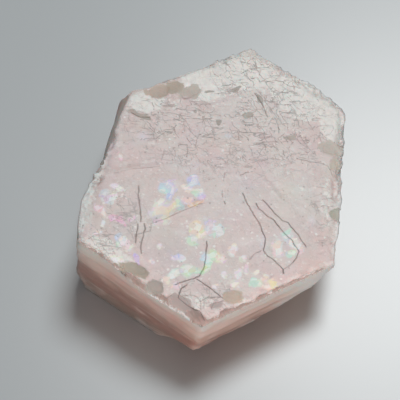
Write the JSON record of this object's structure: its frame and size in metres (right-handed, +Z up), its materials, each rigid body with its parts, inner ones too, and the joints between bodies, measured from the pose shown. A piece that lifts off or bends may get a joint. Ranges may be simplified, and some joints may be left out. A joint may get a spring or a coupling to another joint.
{
  "type": "rough morganite crystal",
  "caption": "Loose flat six-sided crystal of rough pink beryl, frosted on top, banded on its sides and broken below, to lie on a surface as a specimen.",
  "frame": {"origin": "middle of the crystal's box, seen from above, at the level of the spot it rests on", "axes": "+Z up from the resting spot through the basal face; +Y along the long way of the six-sided face, away from the viewer; +X to the viewer's right, the way the basal face leans down by 6 degrees"},
  "size_m": [0.0378, 0.0456, 0.0128],
  "materials": {
    "pink_beryl": "frosted"
  },
  "bodies": {
    "root": {"crystal": "pink_beryl"}
  },
  "joints": []
}
